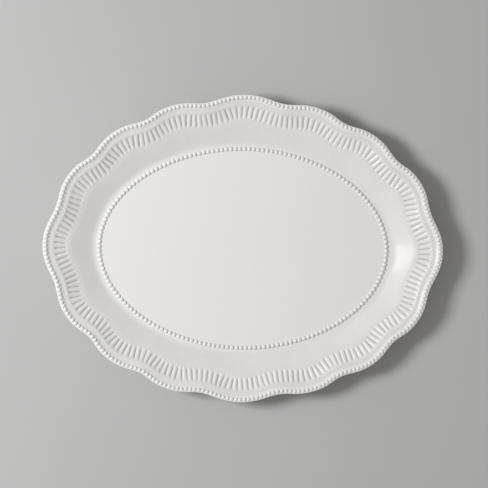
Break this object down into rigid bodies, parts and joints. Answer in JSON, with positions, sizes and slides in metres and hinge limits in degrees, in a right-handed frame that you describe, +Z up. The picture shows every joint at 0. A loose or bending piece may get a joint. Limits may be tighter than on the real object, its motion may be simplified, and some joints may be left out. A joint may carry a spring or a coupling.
{
  "type": "oval serving platter",
  "caption": "Oval glazed stoneware serving platter with a scalloped beaded rim, a band of short reeds on the flange and a beaded line round a flat well, standing on an oval foot ring.",
  "frame": {"origin": "centre of the foot ring's underside, on the surface that the platter stands on", "axes": "+X along the platter's length, +Y across its width, +Z up out of the well"},
  "size_m": [0.406, 0.312, 0.0261],
  "materials": {
    "glaze": "glossy off-white glaze with a thin grey-brown wash left in the recesses",
    "bead_glaze": "glossy off-white glaze, paler on the crowns of the beads and darker between them",
    "bare_clay": "matt unglazed fired clay"
  },
  "bodies": {
    "root": {"well_floor": "glaze", "foot_ring": "bare_clay", "cavetto": "glaze", "reeded_band": "glaze", "rim_lip": "glaze", "rim_beading": "bead_glaze", "well_beading": "bead_glaze"}
  },
  "joints": []
}
